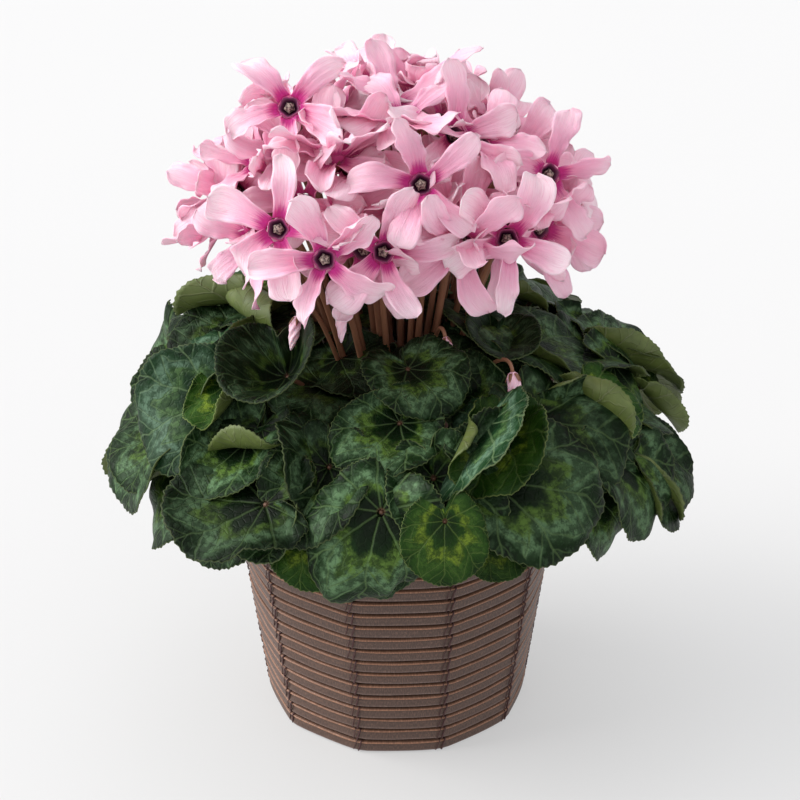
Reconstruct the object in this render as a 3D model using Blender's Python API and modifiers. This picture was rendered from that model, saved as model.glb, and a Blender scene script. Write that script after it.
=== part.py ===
"""Potted cyclamen: a plant with stalked leaves and stalked flowers on one corm, in a growing pot that
stands in a ten-sided slat cover. Metres, +Z up, the front towards -Y, origin at the middle of the
cover's underside."""

import math

import bmesh
import bpy
from mathutils import Matrix, Vector

# Slat cover
SIDES = 10
ROWS = 17
ROW_PITCH = 0.0093
COVER_BASE_RADIUS = 0.0835  # to the corners, at the floor
COVER_FLARE = 0.13  # radius gained per metre of height
COVER_WALL = 0.004
GROOVE_DEPTH = 0.0012
COVER_TURN = math.radians(2)
BOARD_THICKNESS = 0.005

# Growing pot, soil and corm
GAP = 0.0004  # left between pieces that rest against each other
POT_HEIGHT = 0.146
POT_TOP_RADIUS = 0.0885
POT_BASE_RADIUS = 0.066
POT_WALL = 0.0018
RIM_DEPTH = 0.008
RIM_STAND_OUT = 0.0025
DRAIN_HOLES = 6
DRAIN_RADIUS = 0.005
DRAIN_RING = 0.042
ROUND_STEPS = 24
SOIL_LEVEL = 0.139
CORM_RADIUS = 0.040
CORM_HALF_HEIGHT = 0.021
CORM_MIDDLE = 0.134

# Foliage: leaf joints lie on the upper part of an ellipsoid, the mound
MOUND_RADIUS = 0.170
MOUND_RISE = 0.098
MOUND_MIDDLE = 0.166
BLADE_THICKNESS = 0.0012
PETIOLE_RADIUS = 0.0016

# Flowers: heads lie on a flattened dome and look away from a point below it
HEADS = 21
DOME_CENTRE = Vector((-0.006, 0.0, 0.318))
DOME_RADIUS = 0.090
DOME_RISE = 0.080
DOME_EDGE = 0.06  # share of the rise at which the lowest heads sit
LOOK_FROM = Vector((-0.006, 0.0, 0.235))
STALK_RADIUS = 0.0019
PETAL_LENGTH = 0.036
PETAL_FLARE = math.radians(48)  # between a petal and the flower's axis
CROWN_RADIUS = 0.0165  # the disc on the corm that all flower stalks rise from
GOLDEN_ANGLE = math.pi * (3 - math.sqrt(5))

# Each tier: angle up the mound, radius of the stalk feet on the corm, then one entry per leaf:
# azimuth (0 at the front, positive towards +X), blade width, turn of the midrib, lift of the tip, roll,
# lift off the mound. Angles in degrees, lengths in metres.
TIERS = [
    (66, 0.0200, [
        (6, 0.066, 25, 4, 0, 0.006),
        (-62, 0.058, 12, 4, 0, 0.008),
        (74, 0.060, 12, 4, 0, 0.006),
        (-103, 0.056, -4, 4, 0, 0.006),
        (118, 0.056, 10, 4, 0, 0.006),
        (162, 0.060, 0, 4, 0, 0.006),
        (-148, 0.060, 0, 4, 0, 0.006),
    ]),
    (51, 0.0250, [
        (-4, 0.070, -6, 4, 0, 0.002),
        (38, 0.070, 12, 4, -4, 0.002),
        (-34, 0.058, -10, 4, 0, 0.001),
        (-68, 0.062, 8, 4, 4, 0.003),
        (84, 0.064, 6, 4, -4, 0.002),
        (126, 0.066, 5, 4, -4, 0.002),
        (168, 0.066, 0, 4, -4, 0.002),
        (-152, 0.066, -5, 4, -4, 0.002),
        (-112, 0.064, 0, 4, -4, 0.002),
    ]),
    (35, 0.0300, [
        (-17, 0.058, -8, 4, 0, -0.003),
        (14, 0.058, -4, 4, 0, -0.003),
        (58, 0.070, 6, 4, -4, -0.003),
        (-50, 0.070, -8, 4, 0, -0.003),
        (-86, 0.064, 0, 4, -4, -0.003),
        (102, 0.066, 0, 4, -4, -0.003),
        (146, 0.070, 0, 4, -4, -0.003),
        (-172, 0.070, 0, 4, -4, -0.003),
        (-130, 0.070, 0, 4, -4, -0.003),
    ]),
    (17, 0.0350, [
        (-3, 0.068, -6, 2, 0, -0.008),
        (30, 0.082, 25, 2, 0, -0.008),
        (-31, 0.076, -22, 2, 0, -0.008),
        (-68, 0.072, 0, 2, 0, -0.008),
        (72, 0.070, 0, 2, 0, -0.008),
        (114, 0.070, 0, 2, 0, -0.008),
        (158, 0.072, 0, 2, 0, -0.008),
        (-154, 0.072, 0, 2, 0, -0.008),
        (-110, 0.070, 0, 2, 0, -0.008),
    ]),
]


def clear_scene():
    for obj in list(bpy.data.objects):
        bpy.data.objects.remove(obj)


def new_collection(name):
    collection = bpy.data.collections.new(name)
    bpy.context.scene.collection.children.link(collection)
    return collection


def new_material(name, colour, roughness, metallic=0.0):
    material = bpy.data.materials.new(name)
    material.use_nodes = True
    surface = material.node_tree.nodes["Principled BSDF"]
    surface.inputs["Base Color"].default_value = (*colour, 1.0)
    surface.inputs["Roughness"].default_value = roughness
    surface.inputs["Metallic"].default_value = metallic
    return material


def place(name, mesh, collection, material=None):
    obj = bpy.data.objects.new(name, mesh)
    collection.objects.link(obj)
    if material:
        obj.data.materials.append(material)
    return obj


def turned(name, profile, steps, collection, material):
    """A closed (radius, height) profile, listed down its outer side first, turned about the Z axis."""
    mesh = bpy.data.meshes.new(name)
    count = len(profile)
    on_axis = profile[0][0] == 0 and profile[-1][0] == 0
    edges = [(i, (i + 1) % count) for i in range(count - 1 if on_axis else count)]
    mesh.from_pydata([(radius, 0, height) for radius, height in profile], edges, [])
    obj = place(name, mesh, collection, material)
    screw = obj.modifiers.new("turn", "SCREW")
    screw.steps = steps
    screw.render_steps = steps
    screw.use_merge_vertices = True
    screw.merge_threshold = 0.00005
    screw.use_smooth_shade = steps > SIDES
    return obj


def cut(obj, cutter, name="cut", operation="DIFFERENCE"):
    cutter.hide_render = True
    cutter.display_type = "WIRE"
    boolean = obj.modifiers.new(name, "BOOLEAN")
    boolean.operation = operation
    boolean.object = cutter


def cover_radius(height):
    return COVER_BASE_RADIUS + COVER_FLARE * height


def slat_cover(collection, material):
    """Rows of slats, each a shallow band with a groove above and below, round a plain inner wall."""
    height = ROWS * ROW_PITCH
    profile = []
    for row in reversed(range(ROWS)):
        low = row * ROW_PITCH
        face_low = low + 0.12 * ROW_PITCH
        face_high = low + 0.82 * ROW_PITCH
        top = low + ROW_PITCH
        profile.append((cover_radius(top) - GROOVE_DEPTH, top))
        profile.append((cover_radius(face_high), face_high))
        profile.append((cover_radius(face_low), face_low))
    profile.append((cover_radius(0) - GROOVE_DEPTH, 0))
    profile.append((cover_radius(0) - COVER_WALL, 0))
    profile.append((cover_radius(height) - COVER_WALL, height))
    cover = turned("slat_cover", profile, SIDES, collection, material)
    cover.rotation_euler.z = COVER_TURN
    return cover


def cover_board(collection, material):
    """The ten-sided floor that lies inside the slats and carries the growing pot."""
    low = cover_radius(0) - COVER_WALL - GAP
    high = cover_radius(BOARD_THICKNESS) - COVER_WALL - GAP
    profile = [(0, BOARD_THICKNESS), (high, BOARD_THICKNESS), (low, 0), (0, 0)]
    board = turned("cover_board", profile, SIDES, collection, material)
    board.rotation_euler.z = COVER_TURN
    return board


def growing_pot(collection, cutters, material):
    """A tapered plastic pot with a deep rim and a ring of drain holes in its floor."""
    foot = BOARD_THICKNESS + GAP
    top = foot + POT_HEIGHT
    rim_low = top - RIM_DEPTH
    rim_radius = POT_TOP_RADIUS + RIM_STAND_OUT
    under_rim = pot_inner_radius(rim_low) + POT_WALL
    profile = [
        (rim_radius, top),
        (rim_radius, rim_low),
        (under_rim, rim_low),
        (POT_BASE_RADIUS, foot),
        (0, foot),
        (0, foot + POT_WALL),
        (POT_BASE_RADIUS - POT_WALL, foot + POT_WALL),
        (POT_TOP_RADIUS - POT_WALL, top),
    ]
    # The profile starts and ends off the axis, so its two axis points close the floor.
    mesh_profile = profile[5:] + profile[:5]
    pot = turned("growing_pot", mesh_profile, ROUND_STEPS, collection, material)
    for hole in range(DRAIN_HOLES):
        angle = 2 * math.pi * hole / DRAIN_HOLES
        bpy.ops.mesh.primitive_cylinder_add(
            vertices=10,
            radius=DRAIN_RADIUS,
            depth=8 * POT_WALL,
            location=(DRAIN_RING * math.cos(angle), DRAIN_RING * math.sin(angle), foot),
        )
        drill = bpy.context.object
        drill.name = f"drain_drill_{hole}"
        for owner in list(drill.users_collection):
            owner.objects.unlink(drill)
        cutters.objects.link(drill)
        cut(pot, drill, f"drain_{hole}")
    return pot


def pot_inner_radius(height):
    share = (height - BOARD_THICKNESS - GAP) / POT_HEIGHT
    return POT_BASE_RADIUS + (POT_TOP_RADIUS - POT_BASE_RADIUS) * share - POT_WALL


def potting_soil(collection, material):
    """Fills the growing pot, with a dish in its top that the corm sits in."""
    low = BOARD_THICKNESS + GAP + POT_WALL + GAP
    dish_points = 7
    dish_edge = math.asin((SOIL_LEVEL - CORM_MIDDLE) / CORM_HALF_HEIGHT)
    profile = []
    for step in range(dish_points + 1):
        angle = -math.pi / 2 + (dish_edge + math.pi / 2) * step / dish_points
        radius = (CORM_RADIUS + 2 * GAP) * math.cos(angle) if step else 0
        profile.append((radius, CORM_MIDDLE + (CORM_HALF_HEIGHT + 2 * GAP) * math.sin(angle)))
    profile.append((pot_inner_radius(SOIL_LEVEL) - 2 * GAP, SOIL_LEVEL - 0.003))
    profile.append((pot_inner_radius(low) - 2 * GAP, low))
    profile.append((0, low))
    return turned("potting_soil", profile, ROUND_STEPS, collection, material)


def corm(collection, material):
    """A flattened round corm, half sunk in the soil."""
    mesh = bpy.data.meshes.new("corm")
    form = bmesh.new()
    bmesh.ops.create_uvsphere(form, u_segments=ROUND_STEPS, v_segments=8, radius=1)
    for vertex in form.verts:
        vertex.co = Vector((
            CORM_RADIUS * vertex.co.x,
            CORM_RADIUS * vertex.co.y,
            CORM_MIDDLE + CORM_HALF_HEIGHT * vertex.co.z,
        ))
    form.to_mesh(mesh)
    form.free()
    mesh.shade_smooth()
    return place("corm", mesh, collection, material)


def corm_point(direction, radius):
    """The point just above the corm at this radius from its axis, and the corm's normal there."""
    share = math.sqrt(1 - (radius / CORM_RADIUS) ** 2)
    surface = Vector((radius * direction.x, radius * direction.y, CORM_MIDDLE + CORM_HALF_HEIGHT * share))
    normal = Vector((
        radius * direction.x / CORM_RADIUS**2,
        radius * direction.y / CORM_RADIUS**2,
        share / CORM_HALF_HEIGHT,
    )).normalized()
    return surface + GAP * normal, normal


def bezier(start, start_pull, end_pull, end, count):
    points = []
    for step in range(count):
        t = step / (count - 1)
        points.append(
            (1 - t) ** 3 * start
            + 3 * (1 - t) ** 2 * t * start_pull
            + 3 * (1 - t) * t**2 * end_pull
            + t**3 * end
        )
    return points


def tube(name, points, radius, collection, material):
    """A stalk along the points, as a mesh with welded caps."""
    curve = bpy.data.curves.new(name, "CURVE")
    curve.dimensions = "3D"
    curve.bevel_depth = radius
    curve.bevel_resolution = 1
    curve.use_fill_caps = True
    spline = curve.splines.new("POLY")
    spline.points.add(len(points) - 1)
    for point, place_at in zip(spline.points, points):
        point.co = (*place_at, 1)
    guide = place(name + "_guide", curve, collection)
    bpy.context.view_layer.update()
    evaluated = guide.evaluated_get(bpy.context.evaluated_depsgraph_get())
    mesh = bpy.data.meshes.new_from_object(evaluated)
    bpy.data.objects.remove(guide)
    weld = bmesh.new()
    weld.from_mesh(mesh)
    bmesh.ops.remove_doubles(weld, verts=weld.verts, dist=0.00001)
    weld.to_mesh(mesh)
    weld.free()
    mesh.shade_smooth()
    return place(name, mesh, collection, material)


def leaf_outline(angle):
    """Distance from the joint to the blade's edge, in blade widths; angle 0 is the tip, pi the notch."""
    tip = math.cos(angle)
    body = 0.50 + 0.17 * tip + 0.05 * math.cos(2 * angle)
    notch = 0.24 * math.exp(-((math.pi - abs(angle)) / 0.35) ** 2)
    return body - notch


def lens(name, segments, rings, outline, thickness, height):
    """A sphere primitive pressed to a thin lens: outline gives its edge, height its rise at each reach."""
    mesh = bpy.data.meshes.new(name)
    form = bmesh.new()
    bmesh.ops.create_uvsphere(form, u_segments=segments, v_segments=rings, radius=1)
    for vertex in form.verts:
        reach = min(1.0, math.hypot(vertex.co.x, vertex.co.y))
        angle = math.atan2(vertex.co.x, vertex.co.y)
        edge = outline(angle)
        rise = height(reach, angle) + 0.5 * thickness * vertex.co.z
        vertex.co = Vector((reach * edge * math.sin(angle), reach * edge * math.cos(angle), rise))
    form.to_mesh(mesh)
    form.free()
    mesh.shade_smooth()
    return mesh


def mound_frame(azimuth, climb, lift, yaw, tip_lift, roll):
    """Joint position and axes of a blade: X across, Y along the midrib, Z out of its face."""
    outward = Vector((math.sin(azimuth), -math.cos(azimuth), 0))
    across = Vector((-math.cos(azimuth), -math.sin(azimuth), 0))
    point = MOUND_RADIUS * math.cos(climb) * outward
    point += Vector((0, 0, MOUND_MIDDLE + MOUND_RISE * math.sin(climb)))
    down = (MOUND_RADIUS * math.sin(climb) * outward - Vector((0, 0, MOUND_RISE * math.cos(climb))))
    down.normalize()
    normal = across.cross(down)
    axes = Matrix((across, down, normal)).transposed()
    axes = axes @ Matrix.Rotation(yaw, 3, "Z") @ Matrix.Rotation(tip_lift, 3, "X")
    axes = axes @ Matrix.Rotation(roll, 3, "Y")
    return point + lift * normal, axes


def grow_leaf(name, climb, base_radius, plan, collection, cutters, material):
    """One leaf: a heart-shaped blade joined to the stalk that carries it up from the corm."""
    azimuth, width, yaw, tip_lift, roll, lift = plan
    angles = (azimuth, climb, yaw, tip_lift, roll)
    azimuth, climb, yaw, tip_lift, roll = (math.radians(angle) for angle in angles)
    joint, axes = mound_frame(azimuth, climb, lift, yaw, tip_lift, roll)
    outward = Vector((math.sin(azimuth), -math.cos(azimuth), 0))
    base, normal = corm_point(outward, base_radius)
    length = (joint - base).length
    arrive = (0.8 * outward + Vector((0, 0, 0.6))).normalized()
    path = bezier(base, base + 0.36 * length * normal, joint - 0.28 * length * arrive, joint, 6)
    stalk = tube(name, path, PETIOLE_RADIUS, collection, material)

    def saddle(reach, angle):
        droop = 0.06 * max(0.0, math.cos(angle)) ** 2
        return width * reach**2 * (0.06 * math.sin(angle) ** 2 - droop)

    blade_mesh = lens(
        name + "_blade", 14, 4, lambda angle: width * leaf_outline(angle), BLADE_THICKNESS, saddle
    )
    blade = place(name + "_blade", blade_mesh, cutters)
    blade.matrix_world = Matrix.Translation(joint) @ axes.to_4x4()
    cut(stalk, blade, "blade", "UNION")
    return stalk


def petal_outline(angle):
    """Five petals: distance from the eye to the edge, in petal lengths."""
    return 0.25 + 0.75 * abs(math.cos(2.5 * angle)) ** 0.6


def head_place(index):
    """Heads spread evenly over the dome on the golden angle, from its top to its edge."""
    drop = (index + 0.5) / HEADS
    height = 1 - (1 - DOME_EDGE) * drop
    reach = math.sqrt(1 - height**2)
    turn = index * GOLDEN_ANGLE
    radial = Vector((math.sin(turn), -math.cos(turn), 0))
    return DOME_CENTRE + DOME_RADIUS * reach * radial + Vector((0, 0, DOME_RISE * height))


def grow_flower(name, index, collection, cutters, material):
    """One flower: five petals flaring out of a narrow throat, joined to its stalk."""
    head = head_place(index)
    look = (head - LOOK_FROM).normalized()
    flat = Vector((head.x - DOME_CENTRE.x, head.y - DOME_CENTRE.y, 0))
    outward = flat.normalized()
    base, normal = corm_point(outward, CROWN_RADIUS * flat.length / DOME_RADIUS)
    length = (head - base).length
    path = bezier(base, base + 0.35 * length * normal, head - 0.30 * length * look, head, 6)
    stalk = tube(name, path, STALK_RADIUS, collection, material)

    def funnel(reach, angle):
        return math.cos(PETAL_FLARE) * PETAL_LENGTH * reach * petal_outline(angle)

    def spread(angle):
        return math.sin(PETAL_FLARE) * PETAL_LENGTH * petal_outline(angle)

    head_mesh = lens(name + "_head", 20, 4, spread, 0.0016, funnel)
    bloom = place(name + "_head", head_mesh, cutters)
    facing = look.to_track_quat("Z", "Y").to_matrix()
    spin = Matrix.Rotation(index * GOLDEN_ANGLE, 3, "Z")
    bloom.matrix_world = Matrix.Translation(head) @ (facing @ spin).to_4x4()
    cut(stalk, bloom, "head", "UNION")
    return stalk


def main():
    clear_scene()
    plant = new_collection("potted_cyclamen")
    cutters = new_collection("cutters")
    slat_cover(plant, new_material("slat", (0.12, 0.075, 0.055), 0.7))
    cover_board(plant, new_material("board", (0.16, 0.11, 0.08), 0.8))
    growing_pot(plant, cutters, new_material("pot_plastic", (0.10, 0.045, 0.03), 0.5))
    potting_soil(plant, new_material("soil", (0.035, 0.022, 0.014), 0.95))
    corm(plant, new_material("corm", (0.13, 0.075, 0.045), 0.85))
    leaf_green = new_material("leaf", (0.03, 0.10, 0.04), 0.45)
    number = 1
    for climb, base_radius, plans in TIERS:
        for plan in plans:
            grow_leaf(f"leaf_{number:02d}", climb, base_radius, plan, plant, cutters, leaf_green)
            number += 1
    petal_pink = new_material("petal", (0.85, 0.42, 0.58), 0.5)
    for index in range(HEADS):
        grow_flower(f"flower_{index + 1:02d}", index, plant, cutters, petal_pink)


main()
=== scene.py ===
import math

import bpy
import numpy as np
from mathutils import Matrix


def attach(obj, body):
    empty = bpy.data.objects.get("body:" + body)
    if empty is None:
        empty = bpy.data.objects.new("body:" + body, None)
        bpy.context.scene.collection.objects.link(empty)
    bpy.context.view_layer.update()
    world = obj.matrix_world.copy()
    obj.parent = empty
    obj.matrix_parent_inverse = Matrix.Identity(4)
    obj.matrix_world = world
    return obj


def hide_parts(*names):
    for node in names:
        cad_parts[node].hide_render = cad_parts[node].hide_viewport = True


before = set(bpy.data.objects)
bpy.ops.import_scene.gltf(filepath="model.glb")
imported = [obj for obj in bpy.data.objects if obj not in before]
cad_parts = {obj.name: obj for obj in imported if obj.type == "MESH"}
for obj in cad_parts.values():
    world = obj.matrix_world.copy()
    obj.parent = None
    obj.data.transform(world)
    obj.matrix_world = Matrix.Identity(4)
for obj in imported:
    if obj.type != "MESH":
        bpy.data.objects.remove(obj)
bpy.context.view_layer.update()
pi = math.pi
goldenAngle = pi * (3 - math.sqrt(5))
print("frame loaded:", len(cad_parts), "nodes")


view = {"elevation": 28.5, "distance": 1.38, "lookAt": (0.002, 0.0, 0.205), "angle": 20.0, "near": 0.05}


def addCamera():
    # back from the target by distance, up by elevation, looking at the target
    tilt = math.radians(view["elevation"])
    x, y, z = view["lookAt"]
    camera = bpy.data.objects.new("camera", bpy.data.cameras.new("camera"))
    bpy.context.scene.collection.objects.link(camera)
    camera.location = (x, y - view["distance"] * math.cos(tilt), z + view["distance"] * math.sin(tilt))
    camera.rotation_euler = (pi / 2 - tilt, 0, 0)
    camera.data.angle = math.radians(view["angle"])
    camera.data.clip_start = view["near"]
    bpy.context.scene.camera = camera


softSuns = {
    "keyLeft": {"from": (-0.82, 0.02, 0.50), "strength": 3.2, "spread": 46, "colour": (1.0, 0.99, 0.97)},
    "overhead": {"from": (-0.15, 0.50, 0.85), "strength": 0.5, "spread": 60, "colour": (1.0, 1.0, 1.0)},
    "front": {"from": (-0.15, -0.80, 0.60), "strength": 0.32, "spread": 90, "colour": (1.0, 1.0, 1.0)},
}
surround = {"colour": (0.97, 0.98, 1.0, 1), "strength": 0.78}


def addLights():
    # wide soft suns, each turned so that its light comes from the given side, and an even pale surround
    for name, sun in softSuns.items():
        lamp = bpy.data.lights.new(name, "SUN")
        lamp.energy = sun["strength"]
        lamp.angle = math.radians(sun["spread"])
        lamp.color = sun["colour"]
        holder = bpy.data.objects.new(name, lamp)
        bpy.context.scene.collection.objects.link(holder)
        x, y, z = sun["from"]
        holder.location = (2 * x, 2 * y, 2 * z)
        holder.rotation_euler = (math.atan2(math.hypot(x, y), z), 0, math.atan2(x, -y))
    world = bpy.data.worlds.new("surround")
    world.use_nodes = True
    sky = world.node_tree.nodes["Background"]
    sky.inputs["Color"].default_value = surround["colour"]
    sky.inputs["Strength"].default_value = surround["strength"]
    bpy.context.scene.world = world
    bpy.context.scene.view_settings.view_transform = "Standard"


addCamera()
addLights()
print("camera and lights placed")


def addNode(tree, kind, inputs=None, **settings):
    # one shader node; inputs maps a socket to a plain value or to the output that feeds it
    node = tree.nodes.new("ShaderNode" + kind)
    for key, value in settings.items():
        setattr(node, key, value)
    for socket, value in (inputs or {}).items():
        if isinstance(value, bpy.types.NodeSocket):
            tree.links.new(value, node.inputs[socket])
        else:
            node.inputs[socket].default_value = value
    return node


def calc(tree, operation, first, second=0.0, third=0.0):
    return addNode(tree, "Math", {0: first, 1: second, 2: third}, operation=operation).outputs[0]


def plus(tree, first, second):
    return calc(tree, "ADD", first, second)


def times(tree, first, second):
    return calc(tree, "MULTIPLY", first, second)


def timesPlus(tree, first, second, third):
    return calc(tree, "MULTIPLY_ADD", first, second, third)


def spread(tree, value, low, high, toLow=0.0, toHigh=1.0):
    # value moved smoothly from the span low..high to the span toLow..toHigh
    sockets = {"Value": value, "From Min": low, "From Max": high, "To Min": toLow, "To Max": toHigh}
    return addNode(tree, "MapRange", sockets, interpolation_type="SMOOTHSTEP").outputs["Result"]


def noise(tree, place, scale, detail=3.0, rough=0.55):
    sockets = {"Vector": place, "Scale": scale, "Detail": detail, "Roughness": rough}
    return addNode(tree, "TexNoise", sockets).outputs["Fac"]


def colourRamp(tree, value, stops):
    node = addNode(tree, "ValToRGB", {"Fac": value})
    while len(node.color_ramp.elements) < len(stops):
        node.color_ramp.elements.new(0.5)
    for element, (position, colour) in zip(node.color_ramp.elements, stops):
        element.position = position
        element.color = (*colour, 1)
    return node.outputs["Color"]


def blendColour(tree, share, first, second, how="MIX"):
    node = addNode(tree, "Mix", data_type="RGBA", blend_type=how)
    for socket, value in ((0, share), (6, first), (7, second)):
        if isinstance(value, bpy.types.NodeSocket):
            tree.links.new(value, node.inputs[socket])
        else:
            node.inputs[socket].default_value = (*value, 1) if socket else value
    return node.outputs[2]


def layered(tree, colour, layers):
    # each (share, colour) laid over what lies below
    for share, above in layers:
        colour = blendColour(tree, share, colour, above)
    return colour


def newFinish(name, fixed):
    # a Principled surface with its fixed sockets set; returns the material and its tree
    material = bpy.data.materials.new(name)
    material.use_nodes = True
    for socket, value in fixed.items():
        material.node_tree.nodes["Principled BSDF"].inputs[socket].default_value = value
    return material, material.node_tree


def coat(material, colour, height=None, strength=0.0, distance=0.0):
    # links the colour, and the height as a bump
    tree = material.node_tree
    shader = tree.nodes["Principled BSDF"]
    tree.links.new(colour, shader.inputs["Base Color"])
    if height is not None:
        bump = addNode(tree, "Bump", {"Height": height, "Strength": strength, "Distance": distance})
        tree.links.new(bump.outputs[0], shader.inputs["Normal"])
    return material


def pieceMark(tree):
    # the three numbers a piece carries at each point
    mark = addNode(tree, "Attribute", attribute_name="mark").outputs["Vector"]
    parts = addNode(tree, "SeparateXYZ", {0: mark}).outputs
    return parts[0], parts[1], parts[2]


def stretched(tree, place, scale):
    return addNode(tree, "Mapping", {"Vector": place, "Scale": scale}).outputs[0]


def flatMap(tree):
    return addNode(tree, "UVMap", uv_map="flat").outputs["UV"]


def flatPlace(tree):
    # the piece's own flat map, moved so that its middle is zero and its edge about one
    sockets = {0: flatMap(tree), 1: (2, 2, 0), 2: (-1, -1, 0)}
    return addNode(tree, "VectorMath", sockets, operation="MULTIPLY_ADD").outputs[0]


def objectPlace(tree, scale=(1, 1, 1)):
    return stretched(tree, addNode(tree, "TexCoord").outputs["Object"], scale)


def grainFinish(name, form):
    # noise coloured from stop to stop, which also lifts the skin unless a finer noise does
    material, tree = newFinish(name, {"Roughness": form["roughness"]})
    place = objectPlace(tree, form.get("stretch", (1, 1, 1)))
    grain = noise(tree, place, *form["noise"])
    lift = noise(tree, place, *form["finer"]) if "finer" in form else grain
    return coat(material, colourRamp(tree, grain, form["stops"]), lift, *form["bump"])


def unit(vectors):
    return vectors / np.maximum(np.linalg.norm(vectors, axis=-1, keepdims=True), 1e-12)


def gridFaces(rows, columns, wrap=False):
    # quads of a grid whose column number runs fastest; wrap joins the last row to the first
    i = np.arange(rows if wrap else rows - 1)[:, None]
    j = np.arange(columns - 1)[None, :]
    near = i * columns + j
    far = (i + 1) % rows * columns + j
    return np.stack([near, far, far + 1, near + 1], -1).reshape(-1, 4)


def ringFaces(sides, count):
    # quads round a form of sides times count points, and a cap over each end
    first = np.arange(sides) * count
    return [gridFaces(sides, count, wrap=True), first[::-1][None], (first + count - 1)[None]]


def together(*values):
    # values broadcast to one shape, side by side on a new last axis
    return np.stack(np.broadcast_arrays(*values), -1)


def fullTurn(count):
    # angles of count points evenly round a ring, one to a row
    return np.linspace(0, 2 * pi, count, endpoint=False)[:, None]


def wayOut(turn):
    # level and away from the plant's axis: towards the camera at 0, to the right at a quarter turn
    return np.array([math.sin(turn), -math.cos(turn), 0])


def surface(points, faces, finish=0, flat=(0.5, 0.5), mark=(0.5, 0.5, 0.5)):
    # points with their faces, the number of their finish, their flat map and the three numbers they carry
    count = points.size // 3
    flat = np.broadcast_to(flat, (*points.shape[:-1], 2)).reshape(count, 2)
    mark = np.broadcast_to(mark, (*points.shape[:-1], 3)).reshape(count, 3)
    return {"points": points.reshape(count, 3), "faces": faces, "finish": finish, "flat": flat, "mark": mark}


def sheetShell(points, thickness, finishes, flat, mark):
    # a thin closed sheet: the grid moved half its thickness to each side along its normals, with a rim
    rows, columns = points.shape[:2]
    normal = unit(np.cross(np.gradient(points, axis=0), np.gradient(points, axis=1)))
    half = 0.5 * thickness * normal
    count = rows * columns
    top = gridFaces(rows, columns)
    index = np.arange(count).reshape(rows, columns)
    rim = np.concatenate([
        np.stack([index[:-1, 0], index[:-1, 0] + count, index[1:, 0] + count, index[1:, 0]], -1),
        np.stack([index[:-1, -1], index[1:, -1], index[1:, -1] + count, index[:-1, -1] + count], -1),
        np.stack([index[0, :-1], index[0, 1:], index[0, 1:] + count, index[0, :-1] + count], -1),
        np.stack([index[-1, :-1], index[-1, :-1] + count, index[-1, 1:] + count, index[-1, 1:]], -1),
    ])
    both = np.stack([points + half, points - half])
    flat = np.broadcast_to(flat, (2, rows, columns, 2))
    mark = np.broadcast_to(mark, (2, rows, columns, 3))
    upper = surface(both, [top, rim], finishes[0], flat, mark)
    upper["others"] = [(top[:, ::-1] + count, finishes[1])]
    return upper


def tube(path, radius, sides, finish, across, mark=(0.5, 0.5, 0.5)):
    # round each path point a ring: radius times (side·cos + up·sin), side being square to the path
    tangent = unit(np.gradient(path, axis=0))
    across = np.broadcast_to(across, path.shape)
    side = unit(across - (across * tangent).sum(-1, keepdims=True) * tangent)
    up = np.cross(tangent, side)
    turn = fullTurn(sides)[..., None]
    radius = np.broadcast_to(radius, len(path))[None, :, None]
    rings = path + radius * (np.cos(turn) * side + np.sin(turn) * up)
    flat = together(turn[..., 0] / (2 * pi), np.linspace(0, 1, len(path))[None])
    return surface(rings, ringFaces(sides, len(path)), finish, flat, mark)


def turnedForm(profile, sides, finish, lobes):
    # a (radius, height) profile carried round the axis, radius times 1 + lobes·cos(5·turn)
    turn = fullTurn(sides)
    radius = profile[None, :, 0] * (1 + lobes * np.cos(5 * turn))
    points = together(radius * np.cos(turn), radius * np.sin(turn), profile[None, :, 1])
    return surface(points, ringFaces(sides, len(profile)), finish)


def makePiece(name, surfaces, finishes, nodes=()):
    # joins surfaces into one mesh that rides on the root body
    points = np.concatenate([s["points"] for s in surfaces])
    flat = np.concatenate([s["flat"] for s in surfaces])
    mark = np.concatenate([s["mark"] for s in surfaces])
    corners, sizes, finishNumbers = [], [], []
    offset = 0
    for s in surfaces:
        groups = [(faces, s["finish"]) for faces in s["faces"]] + s.get("others", [])
        for faces, finish in groups:
            corners.append((faces + offset).ravel())
            sizes.append(np.full(len(faces), faces.shape[1]))
            finishNumbers.append(np.full(len(faces), finish))
        offset += len(s["points"])
    corners, sizes, finishNumbers = (np.concatenate(a) for a in (corners, sizes, finishNumbers))
    mesh = bpy.data.meshes.new(name)
    mesh.vertices.add(len(points))
    mesh.vertices.foreach_set("co", points.astype(np.float32).ravel())
    mesh.loops.add(len(corners))
    mesh.loops.foreach_set("vertex_index", corners.astype(np.int32))
    mesh.polygons.add(len(sizes))
    mesh.polygons.foreach_set("loop_start", (np.cumsum(sizes) - sizes).astype(np.int32))
    mesh.polygons.foreach_set("material_index", finishNumbers.astype(np.int32))
    mesh.polygons.foreach_set("use_smooth", np.ones(len(sizes), bool))
    mesh.uv_layers.new(name="flat").data.foreach_set("uv", flat[corners].astype(np.float32).ravel())
    marks = mesh.attributes.new("mark", "FLOAT_VECTOR", "POINT").data
    marks.foreach_set("vector", mark.astype(np.float32).ravel())
    mesh.update(calc_edges=True)
    mesh.validate()
    for finish in finishes:
        mesh.materials.append(finish)
    piece = bpy.data.objects.new(name, mesh)
    bpy.context.scene.collection.objects.link(piece)
    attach(piece, "root")
    if nodes:
        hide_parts(*nodes)


def bezier(start, startPull, endPull, end, count):
    # cubic curve through start and end, pulled towards the two points between
    t = np.linspace(0, 1, count)[:, None]
    return (1 - t) ** 3 * start + 3 * (1 - t) ** 2 * t * startPull + 3 * (1 - t) * t**2 * endPull + t**3 * end


floorForm = {"half": 6.0, "drop": 0.0002, "glow": 0.42}


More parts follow.
